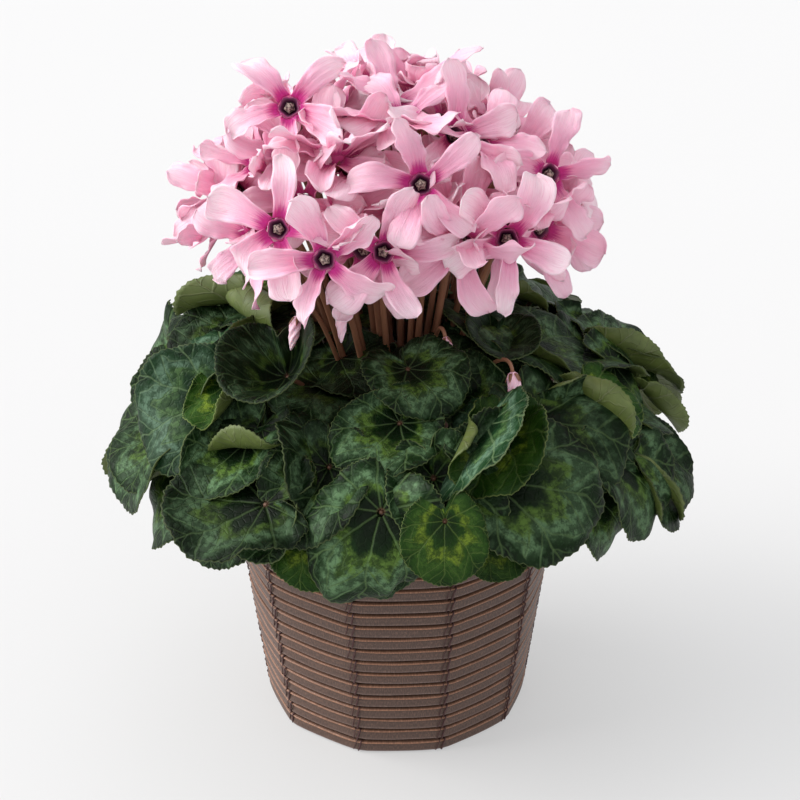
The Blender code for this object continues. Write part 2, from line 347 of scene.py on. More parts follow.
def floorFinish():
    # a sheet that glows by its own emission, painted light from no lamp, so that shadows on it stay pale
    fixed = {"Roughness": 0.7, "Emission Strength": floorForm["glow"], "Emission Color": (1, 1, 1, 1)}
    material, tree = newFinish("paleFloor", fixed)
    shade = noise(tree, objectPlace(tree), 1.3, 2)
    stops = [(0.3, (0.337, 0.335, 0.336)), (0.7, (0.348, 0.346, 0.347))]
    return coat(material, colourRamp(tree, shade, stops))


def addFloor():
    # a flat square grid under the pot
    across = np.linspace(-floorForm["half"], floorForm["half"], 3)
    mesh = bpy.data.meshes.new("floor")
    points = together(across[:, None], across[None], -floorForm["drop"]).reshape(-1, 3)
    mesh.from_pydata(points.tolist(), [], gridFaces(3, 3).tolist())
    mesh.materials.append(floorFinish())
    floor = bpy.data.objects.new("floor", mesh)
    bpy.context.scene.collection.objects.link(floor)


addFloor()
print("floor laid")


cover = {
    "sides": 10, "rows": 17, "pitch": 0.0093, "baseRadius": 0.0835, "flare": 0.13, "wall": 0.004,
    "turn": math.radians(20), "relief": 0.0019, "samples": 12, "inset": 0.0004, "lip": 0.0022,
    "thread": 0.00052, "fineThread": 0.00028, "threadGap": 0.0032, "threadLean": 0.0024,
}


def coverRadius(height):
    return cover["baseRadius"] + cover["flare"] * height


def polygonRing(turn):
    # the ten-sided outline's radius at each turn, as a share of its corners': sides bowed, corners eased
    step = 2 * pi / cover["sides"]
    within = np.mod(turn - cover["turn"] + step / 2, step) - step / 2
    flatShare = math.cos(step / 2) / np.cos(step / 2 - np.abs(within))
    eased = 1 - 0.35 * np.exp(-(within / 0.02) ** 2) * 0.02
    return flatShare**0.6 * eased


def slatFinish():
    # the place in the row, made to wander by long fibres, picks a colour from dark groove to tan bead; the
    # groove's near-black and the dark stop under the bead are painted shade
    material, tree = newFinish("fibreSlat", {"Roughness": 0.44, "Specular IOR Level": 0.5})
    fibre = noise(tree, stretched(tree, flatMap(tree), (95, 7.5, 1)), 9.0, 5, 0.7)
    fleck = noise(tree, stretched(tree, flatMap(tree), (150, 30, 1)), 6.0, 2)
    wander = timesPlus(tree, fibre, 0.06, plus(tree, pieceMark(tree)[0], -0.03))
    # painted shade: the near-black ends of this ramp darken the groove between rows, and the dark stop at
    # 0.70 darkens the crease under the bead
    band = colourRamp(tree, wander, [
        (0.00, (0.020, 0.012, 0.011)),
        (0.075, (0.060, 0.040, 0.036)),
        (0.13, (0.270, 0.190, 0.165)),
        (0.20, (0.150, 0.092, 0.074)),
        (0.30, (0.108, 0.060, 0.044)),
        (0.62, (0.118, 0.064, 0.045)),
        (0.70, (0.060, 0.034, 0.026)),
        (0.76, (0.360, 0.165, 0.090)),
        (0.84, (0.370, 0.180, 0.105)),
        (0.92, (0.100, 0.055, 0.040)),
        (1.00, (0.018, 0.011, 0.010)),
    ])
    dark = blendColour(tree, spread(tree, fibre, 0.42, 0.72), (0.55, 0.52, 0.50), (1.35, 1.32, 1.28))
    mottled = blendColour(tree, 1.0, band, dark, "MULTIPLY")
    flecked = blendColour(tree, spread(tree, fleck, 0.62, 0.75, 0, 0.35), mottled, (0.30, 0.21, 0.16))
    return coat(material, flecked, fibre, 0.5, 0.0006)


def threadFinish():
    material, tree = newFinish("stitchThread", {"Roughness": 0.6})
    sockets = {"Vector": objectPlace(tree), "Scale": 900.0, "Distortion": 1.0}
    ply = addNode(tree, "TexWave", sockets).outputs["Fac"]
    stops = [(0.1, (0.035, 0.010, 0.010)), (0.9, (0.085, 0.026, 0.024))]
    return coat(material, colourRamp(tree, ply, stops), ply, 0.4, 0.0002)


# one row's profile from its foot up: share of the pitch, and how proud it is in reliefs
slatProfile = np.array([
    (0.00, -2.0), (0.06, -1.1), (0.10, -0.25), (0.15, 0.0), (0.22, -0.05), (0.34, -0.25),
    (0.50, -0.38), (0.64, -0.50), (0.695, -0.75), (0.72, -0.50), (0.755, -0.12), (0.80, 0.0),
    (0.845, -0.12), (0.89, -0.55), (0.93, -1.5),
])


def slatWall():
    # outline at (turn, profile): (cover radius + profile depth) times the ten-sided ring; each row's
    # profile is a lower lip, a face that leans in, and a bead on top, with a groove between rows
    count = cover["sides"] * cover["samples"]
    t = fullTurn(count) + cover["turn"]
    rowNumber = np.repeat(np.arange(cover["rows"]), len(slatProfile))
    share = np.tile(slatProfile[:, 0], cover["rows"])
    depth = np.tile(slatProfile[:, 1], cover["rows"]) * cover["relief"]
    height = (rowNumber + share) * cover["pitch"]
    top = cover["rows"] * cover["pitch"]
    random = np.random.default_rng(7)
    phase = random.uniform(0, 2 * pi, (3, cover["rows"]))[:, rowNumber]
    lean = random.normal(0, 0.00022, cover["rows"])[rowNumber]
    wobble = 0.00022 * np.sin(3 * t + phase[0]) + 0.00016 * np.sin(11 * t + phase[1]) + lean
    sag = 0.00035 * np.sin(2 * t + phase[2]) + 0.00025 * np.sin(13 * t + phase[0])
    heights = height + sag * np.minimum(1, 4 * share * (1 - share)) * np.clip(height / 0.01, 0, 1)
    radius = coverRadius(heights) - cover["inset"] + depth + wobble * np.clip(share * 8, 0, 1)
    inside = coverRadius(np.array([top, top - 0.002, 0.002, 0])) - cover["wall"]
    inside = np.concatenate([[coverRadius(top) - cover["lip"]], inside, [coverRadius(0) - cover["lip"]]])
    insideHeights = np.array([top, top - 0.0004, top - 0.002, 0.002, 0, 0])
    radius = np.concatenate([radius, np.broadcast_to(inside, (count, 6))], 1)
    heights = np.concatenate([heights, np.broadcast_to(insideHeights, (count, 6))], 1)
    ring = radius * polygonRing(t)
    points = np.stack([ring * np.sin(t), -ring * np.cos(t), np.maximum(heights, 0)], -1)
    columns = points.shape[1]
    first = np.arange(count) * columns
    following = np.roll(first, -1)
    closing = np.stack([first + columns - 1, following + columns - 1, following, first], -1)
    faces = [gridFaces(count, columns, wrap=True), closing]
    mark = together(np.concatenate([share, np.full(6, 0.3)]), t / 7, 0.5)
    return surface(points, faces, 0, together(t / (2 * pi), heights / top), mark)


def cornerThreads():
    # at each corner of each row a slanted thread: out of the lower groove, over the face, into the upper one
    pieces = []
    random = np.random.default_rng(11)
    along = np.array([0.06, 0.12, 0.30, 0.55, 0.78, 0.90, 0.97])
    proud = np.array([-0.0020, 0.0001, 0.0001, -0.0003, 0.0002, -0.0002, -0.0020])
    for side in range(cover["sides"]):
        for row in range(cover["rows"]):
            for shift, radius in ((0.0, cover["thread"]), (-cover["threadGap"], cover["fineThread"])):
                lean = cover["threadLean"] + random.normal(0, 0.0004)
                height = (row + along) * cover["pitch"]
                corner = coverRadius(height) - cover["inset"] + proud + radius * 0.6
                turn = cover["turn"] + 2 * pi * side / cover["sides"]
                turn = turn + (shift + lean * (along - 0.5) + random.normal(0, 0.0002)) / corner
                ring = corner * polygonRing(turn)
                path = np.stack([ring * np.sin(turn), -ring * np.cos(turn), height], -1)
                pieces.append(tube(path, radius, 5, 0, wayOut(turn[0])))
    return pieces


makePiece("slatWall", [slatWall()], [slatFinish()], ["slat_cover"])
makePiece("cornerThreads", cornerThreads(), [threadFinish()])
print("slat cover made")


grains = {
    "pottingPlastic": {
        "roughness": 0.48, "noise": (60, 3), "finer": (900, 2), "bump": (0.15, 0.0002),
        "stops": [(0.3, (0.085, 0.032, 0.022)), (0.7, (0.12, 0.05, 0.034))],
    },
    "plainBoard": {
        "roughness": 0.75, "stretch": (6, 90, 90), "noise": (4, 4, 0.65), "bump": (0.3, 0.0004),
        "stops": [(0.3, (0.13, 0.08, 0.05)), (0.7, (0.24, 0.16, 0.10))],
    },
    "pottingMix": {
        "roughness": 0.95, "noise": (220, 5, 0.7), "bump": (0.9, 0.002),
        "stops": [(0.35, (0.010, 0.006, 0.004)), (0.62, (0.055, 0.034, 0.020))],
    },
    "corkySkin": {
        "roughness": 0.85, "noise": (140, 5, 0.7), "bump": (0.8, 0.0012),
        "stops": [(0.3, (0.05, 0.026, 0.015)), (0.7, (0.17, 0.10, 0.06))],
    },
}
finishes = {name: grainFinish(name, form) for name, form in grains.items()}


def dressNode(node, finish):
    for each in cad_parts[node].material_slots:
        each.material = finish


def lumps(x, y, size, seed, count=9):
    # sum of sine waves in all directions, about -1 to 1
    random = np.random.default_rng(seed)
    way = random.uniform(0, 2 * pi, count)
    pace = random.uniform(0.7, 1.6, count) / size
    phase = random.uniform(0, 2 * pi, count)
    waves = np.sin(pace * (x[..., None] * np.cos(way) + y[..., None] * np.sin(way)) * 2 * pi + phase)
    return waves.sum(-1) / math.sqrt(count)


soil = {
    "level": 0.1385, "low": 0.0084, "rim": 0.0845, "foot": 0.0632, "lump": 0.0009, "sink": 0.0022,
    "sides": 96, "rings": 44,
}


def soilBody():
    # turned outline: flat underside, tapered side, and a top whose height is level plus lumps
    rings, rim, level, low = (soil[key] for key in ("rings", "rim", "level", "low"))
    turn = fullTurn(soil["sides"])
    radius = np.concatenate([np.linspace(0.001, rim - 0.001, rings), [rim, soil["foot"], 0.001]])
    heights = np.concatenate([np.full(rings, level), [level - 0.003, low, low]])
    x, y = radius * np.cos(turn), radius * np.sin(turn)
    bumpy = soil["lump"] * (lumps(x, y, 0.010, 3) + 0.6 * lumps(x, y, 0.0045, 4)) - soil["sink"]
    z = heights + np.where(np.arange(rings + 3) < rings, bumpy, 0)
    return surface(np.stack([x, y, z], -1)[:, ::-1], ringFaces(soil["sides"], rings + 3))


corm = {"radius": 0.040, "halfHeight": 0.021, "middle": 0.134, "sides": 72, "rings": 36}


def cormBody():
    # flattened ball whose skin is pressed in by lumps
    turn = fullTurn(corm["sides"])
    rise = np.linspace(-pi / 2 + 0.02, pi / 2 - 0.02, corm["rings"])
    x, y = np.cos(rise) * np.cos(turn), np.cos(rise) * np.sin(turn)
    press = 0.985 - 0.018 * np.abs(lumps(x, y, 0.35, 5))
    wide = corm["radius"] * press
    points = np.stack([wide * x, wide * y, corm["middle"] + corm["halfHeight"] * press * np.sin(rise)], -1)
    return surface(points, ringFaces(corm["sides"], corm["rings"]))


def cormPoint(turn, radius):
    # the point on the corm at this turn and distance from its axis, and the corm's normal there
    share = math.sqrt(1 - (radius / corm["radius"]) ** 2)
    outward = wayOut(turn)
    point = radius * outward + np.array([0, 0, corm["middle"] + corm["halfHeight"] * share])
    normal = radius / corm["radius"] ** 2 * outward + np.array([0, 0, share / corm["halfHeight"]])
    return point - 0.0006 * unit(normal), unit(normal)


dressNode("growing_pot", finishes["pottingPlastic"])
dressNode("cover_board", finishes["plainBoard"])
makePiece("soilBody", [soilBody()], [finishes["pottingMix"]], ["potting_soil"])
makePiece("cormBody", [cormBody()], [finishes["corkySkin"]], ["corm"])
print("pot, soil and corm made")


mound = {"radius": 0.167, "rise": 0.098, "middle": 0.166}
leafForm = {
    "around": 145, "out": 15, "thickness": 0.0007, "notch": 0.24, "foot": 0.030, "ringFoot": 0.034,
    "stemRadius": 0.0016, "stemSides": 8, "stemSteps": 22,
}


def spin(angle, axis):
    # rotation matrix about one of the three axes
    c, s = math.cos(angle), math.sin(angle)
    if axis == 0:
        return np.array([[1, 0, 0], [0, c, -s], [0, s, c]])
    if axis == 1:
        return np.array([[c, 0, s], [0, 1, 0], [-s, 0, c]])
    return np.array([[c, -s, 0], [s, c, 0], [0, 0, 1]])


def moundFrame(azimuth, climb, yaw, tip, roll, lift):
    # the leaf's joint on the mound, its axes (across, along the midrib, out of the face) and the way out
    a, c, yaw, tip, roll = (math.radians(v) for v in (azimuth, climb, yaw, tip, roll))
    outward = wayOut(a)
    radius, rise = mound["radius"], mound["rise"]
    point = radius * math.cos(c) * outward + np.array([0, 0, mound["middle"] + rise * math.sin(c)])
    across = np.array([-math.cos(a), -math.sin(a), 0])
    down = unit(radius * math.sin(c) * outward - np.array([0, 0, rise * math.cos(c)]))
    normal = np.cross(across, down)
    axes = np.stack([across, down, normal], 1) @ spin(yaw, 2) @ spin(tip, 0) @ spin(roll, 1)
    return point + lift * normal, axes, outward


def bendOver(points, way, start, radius):
    # past start along way the sheet goes round an arc of this radius; a minus radius turns it down
    way = np.array([math.sin(way), math.cos(way), 0])
    along = points @ way - start
    height = points[..., 2]
    angle = np.maximum(along, 0) / radius
    further = np.where(along > 0, (radius - height) * np.sin(angle), along) - along
    higher = np.where(along > 0, radius - (radius - height) * np.cos(angle), height) - height
    return points + further[..., None] * way + higher[..., None] * np.array([0, 0, 1.0])


def leafGrid(width, seed, cup, wave, bends):
    # outline radius 0.5 + 0.17 cos a + 0.05 cos 2a less the notch, toothed at its edge; height is a
    # cup, waves that grow to the edge and quilting between nine veins; then the bends, all in widths
    random = np.random.default_rng(seed)
    a = np.linspace(-pi + 0.03, pi - 0.03, leafForm["around"])[:, None]
    r = np.linspace(0.03, 1, leafForm["out"])[None] ** 0.85
    phase = random.uniform(0, 2 * pi, 6)
    edge = 0.5 + 0.17 * np.cos(a) + 0.05 * np.cos(2 * a)
    edge = edge - leafForm["notch"] * np.exp(-(((pi - np.abs(a)) / 0.26) ** 2))
    edge = edge * (1 + 0.018 * np.sin(3 * a + phase[0]) + 0.014 * np.sin(7 * a + phase[1]))
    tooth = np.where(np.arange(leafForm["around"]) % 2, 0.006, -0.006)[:, None]
    edge = edge + (tooth + 0.004 * np.sin(31 * a + phase[2])) * r**8
    x, y = edge * r * np.sin(a), edge * r * np.cos(a)
    height = cup * (1.45 * r**2 - 0.55 * r**5) * (0.6 + 0.4 * np.sin(a) ** 2)
    height = height - 0.05 * r**2 * np.maximum(np.cos(a), 0) ** 2
    ruffle = np.sin(2 * a + phase[3]) + 0.75 * np.sin(3 * a + phase[4]) + 0.5 * np.sin(5 * a + phase[5])
    height = height + wave * (0.045 * r**2 * ruffle + 0.012 * r**5 * np.sin(13 * a + phase[1]))
    height = height + 0.022 * r * (1 - 0.35 * r) * (np.abs(np.sin(4.5 * a)) - 0.6)
    points = np.stack([x, y, height], -1)
    for way, start, radius in bends:
        points = bendOver(points, math.radians(way), start, radius)
    return points * width, np.stack([x, y], -1) * 0.5 + 0.5, a, r


def leafSurface(seed, joint, axes, width, cup, wave, tone, bends):
    # carries its reach from the joint, a number of its own and how far its pale band goes
    points, flat, a, r = leafGrid(width, seed, cup, wave, bends)
    mark = np.broadcast_to(together(r, (seed * 0.618) % 1, tone), (len(a), leafForm["out"], 3))
    return sheetShell(joint + points @ axes.T, leafForm["thickness"], (0, 1), flat, mark)


def petiole(joint, axes, outward, azimuth, foot):
    # leaves the corm square to its skin and comes up under the leaf's joint
    turn = math.radians(azimuth)
    base, normal = cormPoint(turn, foot)
    reach = np.linalg.norm(joint - base)
    arrive = unit(0.8 * outward + np.array([0, 0, 0.6]))
    end = joint - 0.0004 * axes[:, 2]
    t = np.linspace(0, 1, leafForm["stemSteps"])
    path = bezier(base, base + 0.36 * reach * normal, end - 0.28 * reach * arrive, end, len(t))
    across = np.array([math.cos(turn), math.sin(turn), 0])
    mark = together(t, 0.5, 0.5)[None]
    return tube(path, leafForm["stemRadius"] * (1.1 - 0.25 * t), leafForm["stemSides"], 2, across, mark)


def leafVeins(tree, place, seed):
    # main ribs: nine spokes from the joint; side ribs: chevrons that leave each spoke; net: cell edges
    jitter = plus(tree, noise(tree, place, 3.2, 2), times(tree, seed, 0.3))
    parts = addNode(tree, "SeparateXYZ", {0: place}).outputs
    turn = calc(tree, "ARCTAN2", parts[0], parts[1])
    radius = addNode(tree, "VectorMath", {0: place}, operation="LENGTH").outputs["Value"]
    turned = timesPlus(tree, turn, 4.5 / pi, timesPlus(tree, jitter, 0.55, 0.15))
    nearest = calc(tree, "SUBTRACT", calc(tree, "FRACT", turned), 0.5)
    offset = times(tree, calc(tree, "ABSOLUTE", nearest), 0.698)
    gap = times(tree, offset, radius)
    main = spread(tree, gap, 0.003, 0.013, 1, 0)
    chevron = timesPlus(tree, radius, 9.0, times(tree, gap, -9.5))
    chevron = timesPlus(tree, jitter, 1.2, chevron)
    branch = calc(tree, "ABSOLUTE", calc(tree, "SUBTRACT", calc(tree, "FRACT", chevron), 0.5))
    side = times(tree, spread(tree, branch, 0.03, 0.11, 1, 0), spread(tree, radius, 0.2, 0.5))
    cells = addNode(tree, "TexVoronoi", {"Vector": place, "Scale": 19.0}, feature="DISTANCE_TO_EDGE")
    net = spread(tree, cells.outputs["Distance"], 0.02, 0.12, 1, 0)
    return main, side, net, gap, radius


def leafFinish(name, dark, band, silver, green, ribs, margin, bandShare):
    # a dark heart, a band whose edges wander, speckled silver, then net, ribs, joint and margin over it
    material, tree = newFinish(name, {"Roughness": 0.48, "Specular IOR Level": 0.12})
    reach, seed, tone = pieceMark(tree)
    place = flatPlace(tree)
    lifted = addNode(tree, "CombineXYZ", {2: seed}).outputs[0]
    shifted = addNode(tree, "VectorMath", {0: place, 1: lifted}).outputs[0]
    main, side, net, gap, radius = leafVeins(tree, place, seed)
    cloud = noise(tree, shifted, 4.5, 4, 0.6)
    fine = noise(tree, shifted, 26, 3, 0.6)
    zone = timesPlus(tree, cloud, 0.30, plus(tree, reach, -0.15))
    zone = timesPlus(tree, side, -0.06, timesPlus(tree, gap, -1.1, zone))
    zone = timesPlus(tree, fine, 0.12, plus(tree, zone, 0.02))
    marbled = colourRamp(tree, zone, [
        (0.28, dark), (0.42, green), (0.50, band), (0.57, band),
        (0.64, silver), (0.74, silver), (0.84, green), (0.95, dark),
    ])
    speckle = spread(tree, noise(tree, shifted, 17, 4, 0.65), 0.42, 0.60, 0.26, 1)
    share = spread(tree, plus(tree, cloud, times(tree, tone, bandShare)), 0.44, 0.62)
    ground = layered(tree, colourRamp(tree, zone, [(0.2, dark), (0.8, green)]), [
        (times(tree, share, speckle), marbled),
        (times(tree, spread(tree, fine, 0.50, 0.66), spread(tree, reach, 0.4, 0.85, 0.02, 0.20)), silver),
        (times(tree, net, 0.14), dark),
        (times(tree, side, 0.30), ribs),
        (times(tree, main, 0.48), ribs),
        (spread(tree, radius, 0.012, 0.04, 0.8, 0), (0.09, 0.03, 0.025)),
        (spread(tree, reach, 0.984, 0.999, 0, 0.6), margin),
    ])
    strength = spread(tree, seed, 0.0, 1.0, 0.70, 1.30)
    strength = addNode(tree, "CombineXYZ", {0: strength, 1: strength, 2: strength}).outputs[0]
    ground = blendColour(tree, 1.0, ground, strength, "MULTIPLY")
    relief = timesPlus(tree, main, -1.2, timesPlus(tree, side, -0.8, times(tree, net, -0.4)))
    return coat(material, ground, timesPlus(tree, fine, 0.35, relief), 0.55, 0.0008)


def underFinish():
    material, tree = newFinish("leafUnder", {"Roughness": 0.55})
    place = flatPlace(tree)
    main, side = leafVeins(tree, place, pieceMark(tree)[1])[:2]
    ground = colourRamp(tree, noise(tree, place, 5, 3), [
        (0.25, (0.058, 0.084, 0.014)), (0.6, (0.100, 0.135, 0.028)), (0.8, (0.14, 0.17, 0.05)),
    ])
    ribs = (0.13, 0.15, 0.06)
    ground = layered(tree, ground, [(times(tree, main, 0.6), ribs), (times(tree, side, 0.3), ribs)])
    return coat(material, ground, plus(tree, main, times(tree, side, 0.6)), 0.6, 0.0009)


def petioleFinish(name, low, high):
    material, tree = newFinish(name, {"Roughness": 0.5})
    cloud = noise(tree, objectPlace(tree, (1, 1, 0.25)), 160, 3)
    shade = timesPlus(tree, cloud, 0.4, plus(tree, pieceMark(tree)[0], -0.2))
    return coat(material, colourRamp(tree, shade, [(0.1, low), (0.9, high)]), cloud, 0.2, 0.0003)


leafTops = {
    "dark": leafFinish(
        "leafDark", dark=(0.0010, 0.0046, 0.0006), band=(0.064, 0.118, 0.020), silver=(0.076, 0.140, 0.066),
        green=(0.0032, 0.0150, 0.0018), ribs=(0.074, 0.124, 0.044), margin=(0.10, 0.13, 0.05), bandShare=0.3,
    ),
    "bright": leafFinish(
        "leafBright", dark=(0.004, 0.017, 0.001), band=(0.120, 0.180, 0.016), silver=(0.034, 0.080, 0.010),
        green=(0.012, 0.042, 0.003), ribs=(0.085, 0.135, 0.030), margin=(0.16, 0.20, 0.06), bandShare=0.5,
    ),
    "silver": leafFinish(
        "leafSilver", dark=(0.004, 0.017, 0.005), band=(0.075, 0.150, 0.050), silver=(0.105, 0.190, 0.120),
        green=(0.010, 0.040, 0.012), ribs=(0.150, 0.235, 0.110), margin=(0.16, 0.20, 0.09), bandShare=0.5,
    ),
}
leafUnder = underFinish()
leafStem = petioleFinish("leafStem", (0.10, 0.022, 0.014), (0.12, 0.055, 0.030))

# tiers from the crown down: climb, foot on the corm, and each leaf's azimuth, width, yaw, tip, roll, lift
leafTiers = [
    (66, 0.0200, [
        (6, 0.066, 25, 4, 0, 0.006), (-62, 0.058, 12, 4, 0, 0.008), (74, 0.060, 12, 4, 0, 0.006),
        (-103, 0.056, -4, 4, 0, 0.006), (118, 0.056, 10, 4, 0, 0.006), (162, 0.060, 0, 4, 0, 0.006),
        (-148, 0.060, 0, 4, 0, 0.006),
    ]),
    (51, 0.0250, [
        (-4, 0.070, -6, 4, 0, 0.002), (38, 0.070, 12, 4, -4, 0.002), (-34, 0.058, -10, 4, 0, 0.001),
        (-68, 0.062, 8, 4, 4, 0.003), (84, 0.064, 6, 4, -4, 0.002), (126, 0.066, 5, 4, -4, 0.002),
        (168, 0.066, 0, 4, -4, 0.002), (-152, 0.066, -5, 4, -4, 0.002), (-112, 0.064, 0, 4, -4, 0.002),
    ]),
    (35, 0.0300, [
        (-17, 0.058, -8, 4, 0, -0.003), (14, 0.058, -4, 4, 0, -0.003), (58, 0.070, 6, 4, -4, -0.003),
        (-50, 0.070, -8, 4, 0, -0.003), (-86, 0.064, 0, 4, -4, -0.003), (102, 0.066, 0, 4, -4, -0.003),
        (146, 0.070, 0, 4, -4, -0.003), (-172, 0.070, 0, 4, -4, -0.003), (-130, 0.070, 0, 4, -4, -0.003),
    ]),
    (23, 0.0350, [
        (-3, 0.068, -6, 2, 0, -0.008), (30, 0.082, 25, 2, 0, -0.008), (-31, 0.076, -22, 2, 0, -0.008),
        (-68, 0.072, 0, 2, 0, -0.008), (72, 0.070, 0, 2, 0, -0.008), (114, 0.070, 0, 2, 0, -0.008),
        (158, 0.072, 0, 2, 0, -0.008), (-154, 0.072, 0, 2, 0, -0.008), (-110, 0.070, 0, 2, 0, -0.008),
    ]),
]

# leaves placed one by one: azimuth, climb, width, yaw, tip, roll, lift, kind of top, and cup, wave, tone,
# bends
leafTuned = {
    1: (5, 65, 0.058, 30, 6, 0, 0.010, "dark", 0.16, 1.0, 0.8, [(0, 0.30, -0.4), (100, 0.30, -0.5)]),
    2: (-41, 57, 0.062, 30, 4, 0, 0.012, "dark", 0.62, 0.25, 0.1, []),
    3: (70, 62, 0.072, 20, -2, 0, 0.004, "dark", 0.10, 0.6, 0.2, [(60, 0.25, -0.5)]),
    8: (1, 52, 0.062, -32, 6, 0, 0.004, "dark", 0.16, 1.3, 0.8, [(10, 0.34, -0.4), (100, 0.20, 0.35)]),
    9: (43, 47, 0.080, 5, 4, 0, 0.001, "dark", 0.16, 1.1, 0.2, [(0, 0.25, -0.5), (-90, 0.3, -0.4)]),
    10: (-40, 40, 0.064, -20, 4, 0, 0.004, "dark", 0.14, 0.5, 0.3, [(60, 0.20, 0.26)]),
    11: (-74, 52, 0.074, 20, 2, 0, 0.008, "silver", 0.06, 1.2, 0.6, [(60, 0.2, -0.4)]),
    17: (-17, 40, 0.066, -10, 4, 0, 0.000, "dark", 0.24, 0.9, 0.4, [(0, 0.32, -0.4)]),
    18: (9, 38, 0.066, 12, 4, 0, 0.000, "dark", 0.28, 0.8, 0.5, [(-20, 0.3, -0.4)]),
    19: (57, 29, 0.072, 10, 4, 0, 0.000, "dark", 0.14, 1.5, 0.4, [(30, 0.25, -0.35)]),
    20: (-56, 44, 0.078, -20, 4, -28, 0.012, "silver", 0.04, 0.9, 1.0, [(0, 0.35, -0.6)]),
    21: (-72, 31, 0.086, 22, 0, 0, 0.000, "dark", 0.02, 0.6, 0.7, [(0, 0.3, -0.8), (-90, 0.25, 0.5)]),
    26: (-3, 28, 0.080, -16, -8, 0, 0.014, "dark", 0.04, 1.3, 0.6,
         [(0, 0.20, -0.5), (90, 0.22, -0.3), (-90, 0.2, -0.32)]),
    27: (22, 34, 0.092, 66, 8, 0, 0.008, "dark", 0.05, 1.0, 0.6, [(0, 0.3, -0.7), (70, 0.25, -0.5)]),
    28: (-27, 26, 0.083, -80, 6, 30, 0.012, "dark", 0.03, 1.5, 0.7, [(0, 0.35, 0.6), (90, 0.22, -0.35)]),
    29: (-70, 31, 0.066, 25, 12, 0, -0.004, "dark", 0.10, 0.8, 0.4, [(0, 0.35, -0.8)]),
}


def addLeaf(number, climb, foot, place, form=(None,) * 4, free=1.0, top="dark", nodes=()):
    # one leaf with its petiole; its cup, wave, tone and bends are seeded where form says None
    azimuth, width, yaw, tip, roll, lift = place
    seed = 100 + number
    random = np.random.default_rng(seed)

    def sideBend(low, high):
        way, start = random.uniform(low, high), random.uniform(0.22, 0.36)
        return way, start, random.choice([-1, 1, 1]) * random.uniform(0.18, 0.5)

    seeded = [random.uniform(0.04, 0.34), random.uniform(0.6, 1.8), random.uniform(0, 1), [
        (random.uniform(-25, 25), random.uniform(0.15, 0.35), -random.uniform(0.35, 0.9)),
        sideBend(60, 120), sideBend(-120, -60),
    ]]
    turnBy = free * random.uniform(-1, 1, 3)
    form = [own if given is None else given for given, own in zip(form, seeded)]
    joint, axes, outward = moundFrame(
        azimuth, climb, yaw + 14 * turnBy[0], tip + 10 * turnBy[1], roll + 15 * turnBy[2], lift
    )
    parts = [leafSurface(seed, joint, axes, width, *form), petiole(joint, axes, outward, azimuth, foot)]
    makePiece(f"leafPiece_{number:02d}", parts, [leafTops[top], leafUnder, leafStem], nodes)


def addTuned(number, foot, row, nodes=()):
    azimuth, climb, width, yaw, tip, roll, lift, top, *form = row
    addLeaf(number, climb, foot, (azimuth, width, yaw, tip, roll, lift), form, 0.3, top, nodes)


def addLeaves(number, rows):
    for row in rows:
        number += 1
        addTuned(number, leafForm["foot"], row)
    return number


number = 0
for climb, foot, places in leafTiers:
    for place in places:
        number += 1
        nodes = [f"leaf_{number:02d}"]
        if number in leafTuned:
            addTuned(number, foot, leafTuned[number], nodes)
        else:
            addLeaf(number, climb, foot, place, nodes=nodes)

# further leaves in front, in the same columns
frontLeaves = [
    (9, 25, 0.050, -10, 0, 0, 0.021, "bright", 0.02, 0.3, 1.0, [(0, 0.3, -0.8)]),
    (17, 20, 0.040, 50, 0, 0, 0.004, "bright", 0.02, 0.4, 0.9, [(0, 0.3, 0.8)]),
    (25, 47, 0.076, -48, 0, 55, 0.012, "silver", 0.05, 0.7, 1.0, [(90, 0.2, -0.4)]),
    (28, 45, 0.066, -45, 0, 25, 0.010, "bright", 0.22, 1.8, 0.2, [(90, 0.18, 0.22)]),
    (-54, 48, 0.048, 25, 0, 0, 0.016, "bright", 0.10, 1.2, 0.4, [(-70, 0.14, 0.20), (100, 0.2, 0.25)]),
    (-20, 23, 0.056, 55, 0, 0, 0.000, "bright", 0.04, 0.6, 0.4, [(0, 0.3, -0.6)]),
    (-13, 47, 0.060, -25, 4, 0, -0.006, "dark", 0.16, 0.4, 0.0, [(0, 0.3, -0.6)]),
    (-30, 33, 0.066, 20, 4, 0, -0.004, "dark", 0.08, 1.0, 0.3, [(-60, 0.2, 0.3)]),
    (63, 67, 0.046, -60, 4, 0, 0.004, "dark", 0.40, 0.2, 0.1, []),
    (80, 74, 0.060, -40, 4, 0, 0.006, "dark", 0.14, 0.5, 0.3, [(0, 0.25, -0.5)]),
    (85, 41, 0.062, 35, 0, 20, 0.006, "dark", -0.05, 0.8, 0.9, [(0, 0.25, -0.4)]),
    (68, 17, 0.060, -10, 0, 0, 0.000, "dark", 0.06, 0.9, 0.3, [(90, 0.2, 0.26)]),
    (48, 22, 0.062, 30, 0, 0, -0.006, "dark", 0.04, 0.9, 0.4, [(0, 0.25, -0.5)]),
    (-52, 24, 0.070, -35, 0, 0, -0.002, "dark", 0.03, 1.0, 0.6, [(0, 0.25, -0.6)]),
    (-88, 56, 0.070, 50, 4, 0, 0.008, "dark", 0.12, 0.9, 0.4, [(-70, 0.2, 0.3)]),
    (108, 44, 0.066, -40, 4, 0, 0.006, "dark", 0.06, 1.0, 0.4, [(0, 0.3, -0.5)]),
]
number = addLeaves(number, frontLeaves)

